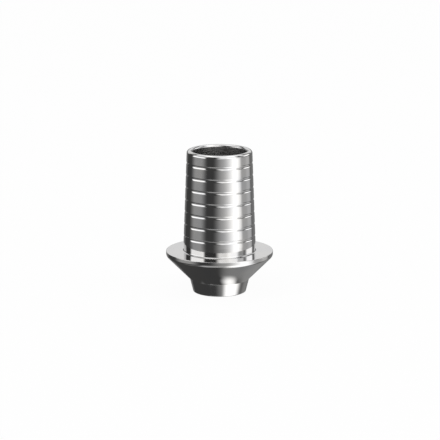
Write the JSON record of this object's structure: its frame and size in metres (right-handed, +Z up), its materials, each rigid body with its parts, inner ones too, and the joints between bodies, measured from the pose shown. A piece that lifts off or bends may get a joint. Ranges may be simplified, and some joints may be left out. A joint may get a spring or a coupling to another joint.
{
  "type": "dental abutment",
  "caption": "One-piece turned titanium base: short cone below, wide flared rim, and a slim grooved chimney with an open screw channel that a crown is bonded to.",
  "frame": {"origin": "middle of the flat underside of the connection cone", "axes": "+Z up the turning axis, from the implant end to the open mouth of the chimney"},
  "size_m": [0.005, 0.0048, 0.0066],
  "materials": {
    "titanium": "fine turned and polished titanium"
  },
  "bodies": {
    "root": {"abutment_body": "titanium"}
  },
  "joints": []
}
